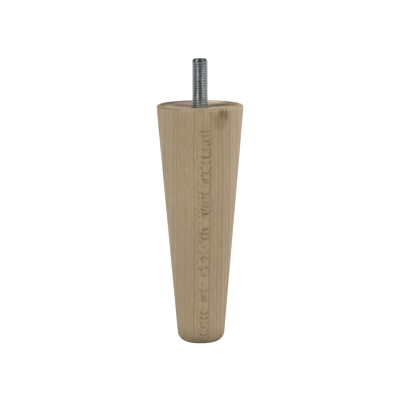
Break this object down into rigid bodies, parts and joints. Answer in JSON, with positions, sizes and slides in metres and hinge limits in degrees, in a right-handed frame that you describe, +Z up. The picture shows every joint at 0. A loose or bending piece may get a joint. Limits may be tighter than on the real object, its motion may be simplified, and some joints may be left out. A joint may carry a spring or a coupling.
{
  "type": "wooden furniture leg",
  "caption": "Round tapered beech furniture leg with a rounded foot, a hollow-turned top and a steel hanger bolt that stands up from its centre.",
  "frame": {"origin": "centre of the foot's flat underside", "axes": "+Z up the leg's axis and out through the threaded stud; the leg is round, so +X and +Y are any two directions square to it"},
  "size_m": [0.0542, 0.0542, 0.1787],
  "materials": {
    "beech": "turned and sanded beech under a thin matt clear coat",
    "zinc_steel": "rolled thread with bright zinc plating"
  },
  "bodies": {
    "root": {"leg": "beech", "hanger_bolt": "zinc_steel"}
  },
  "joints": []
}
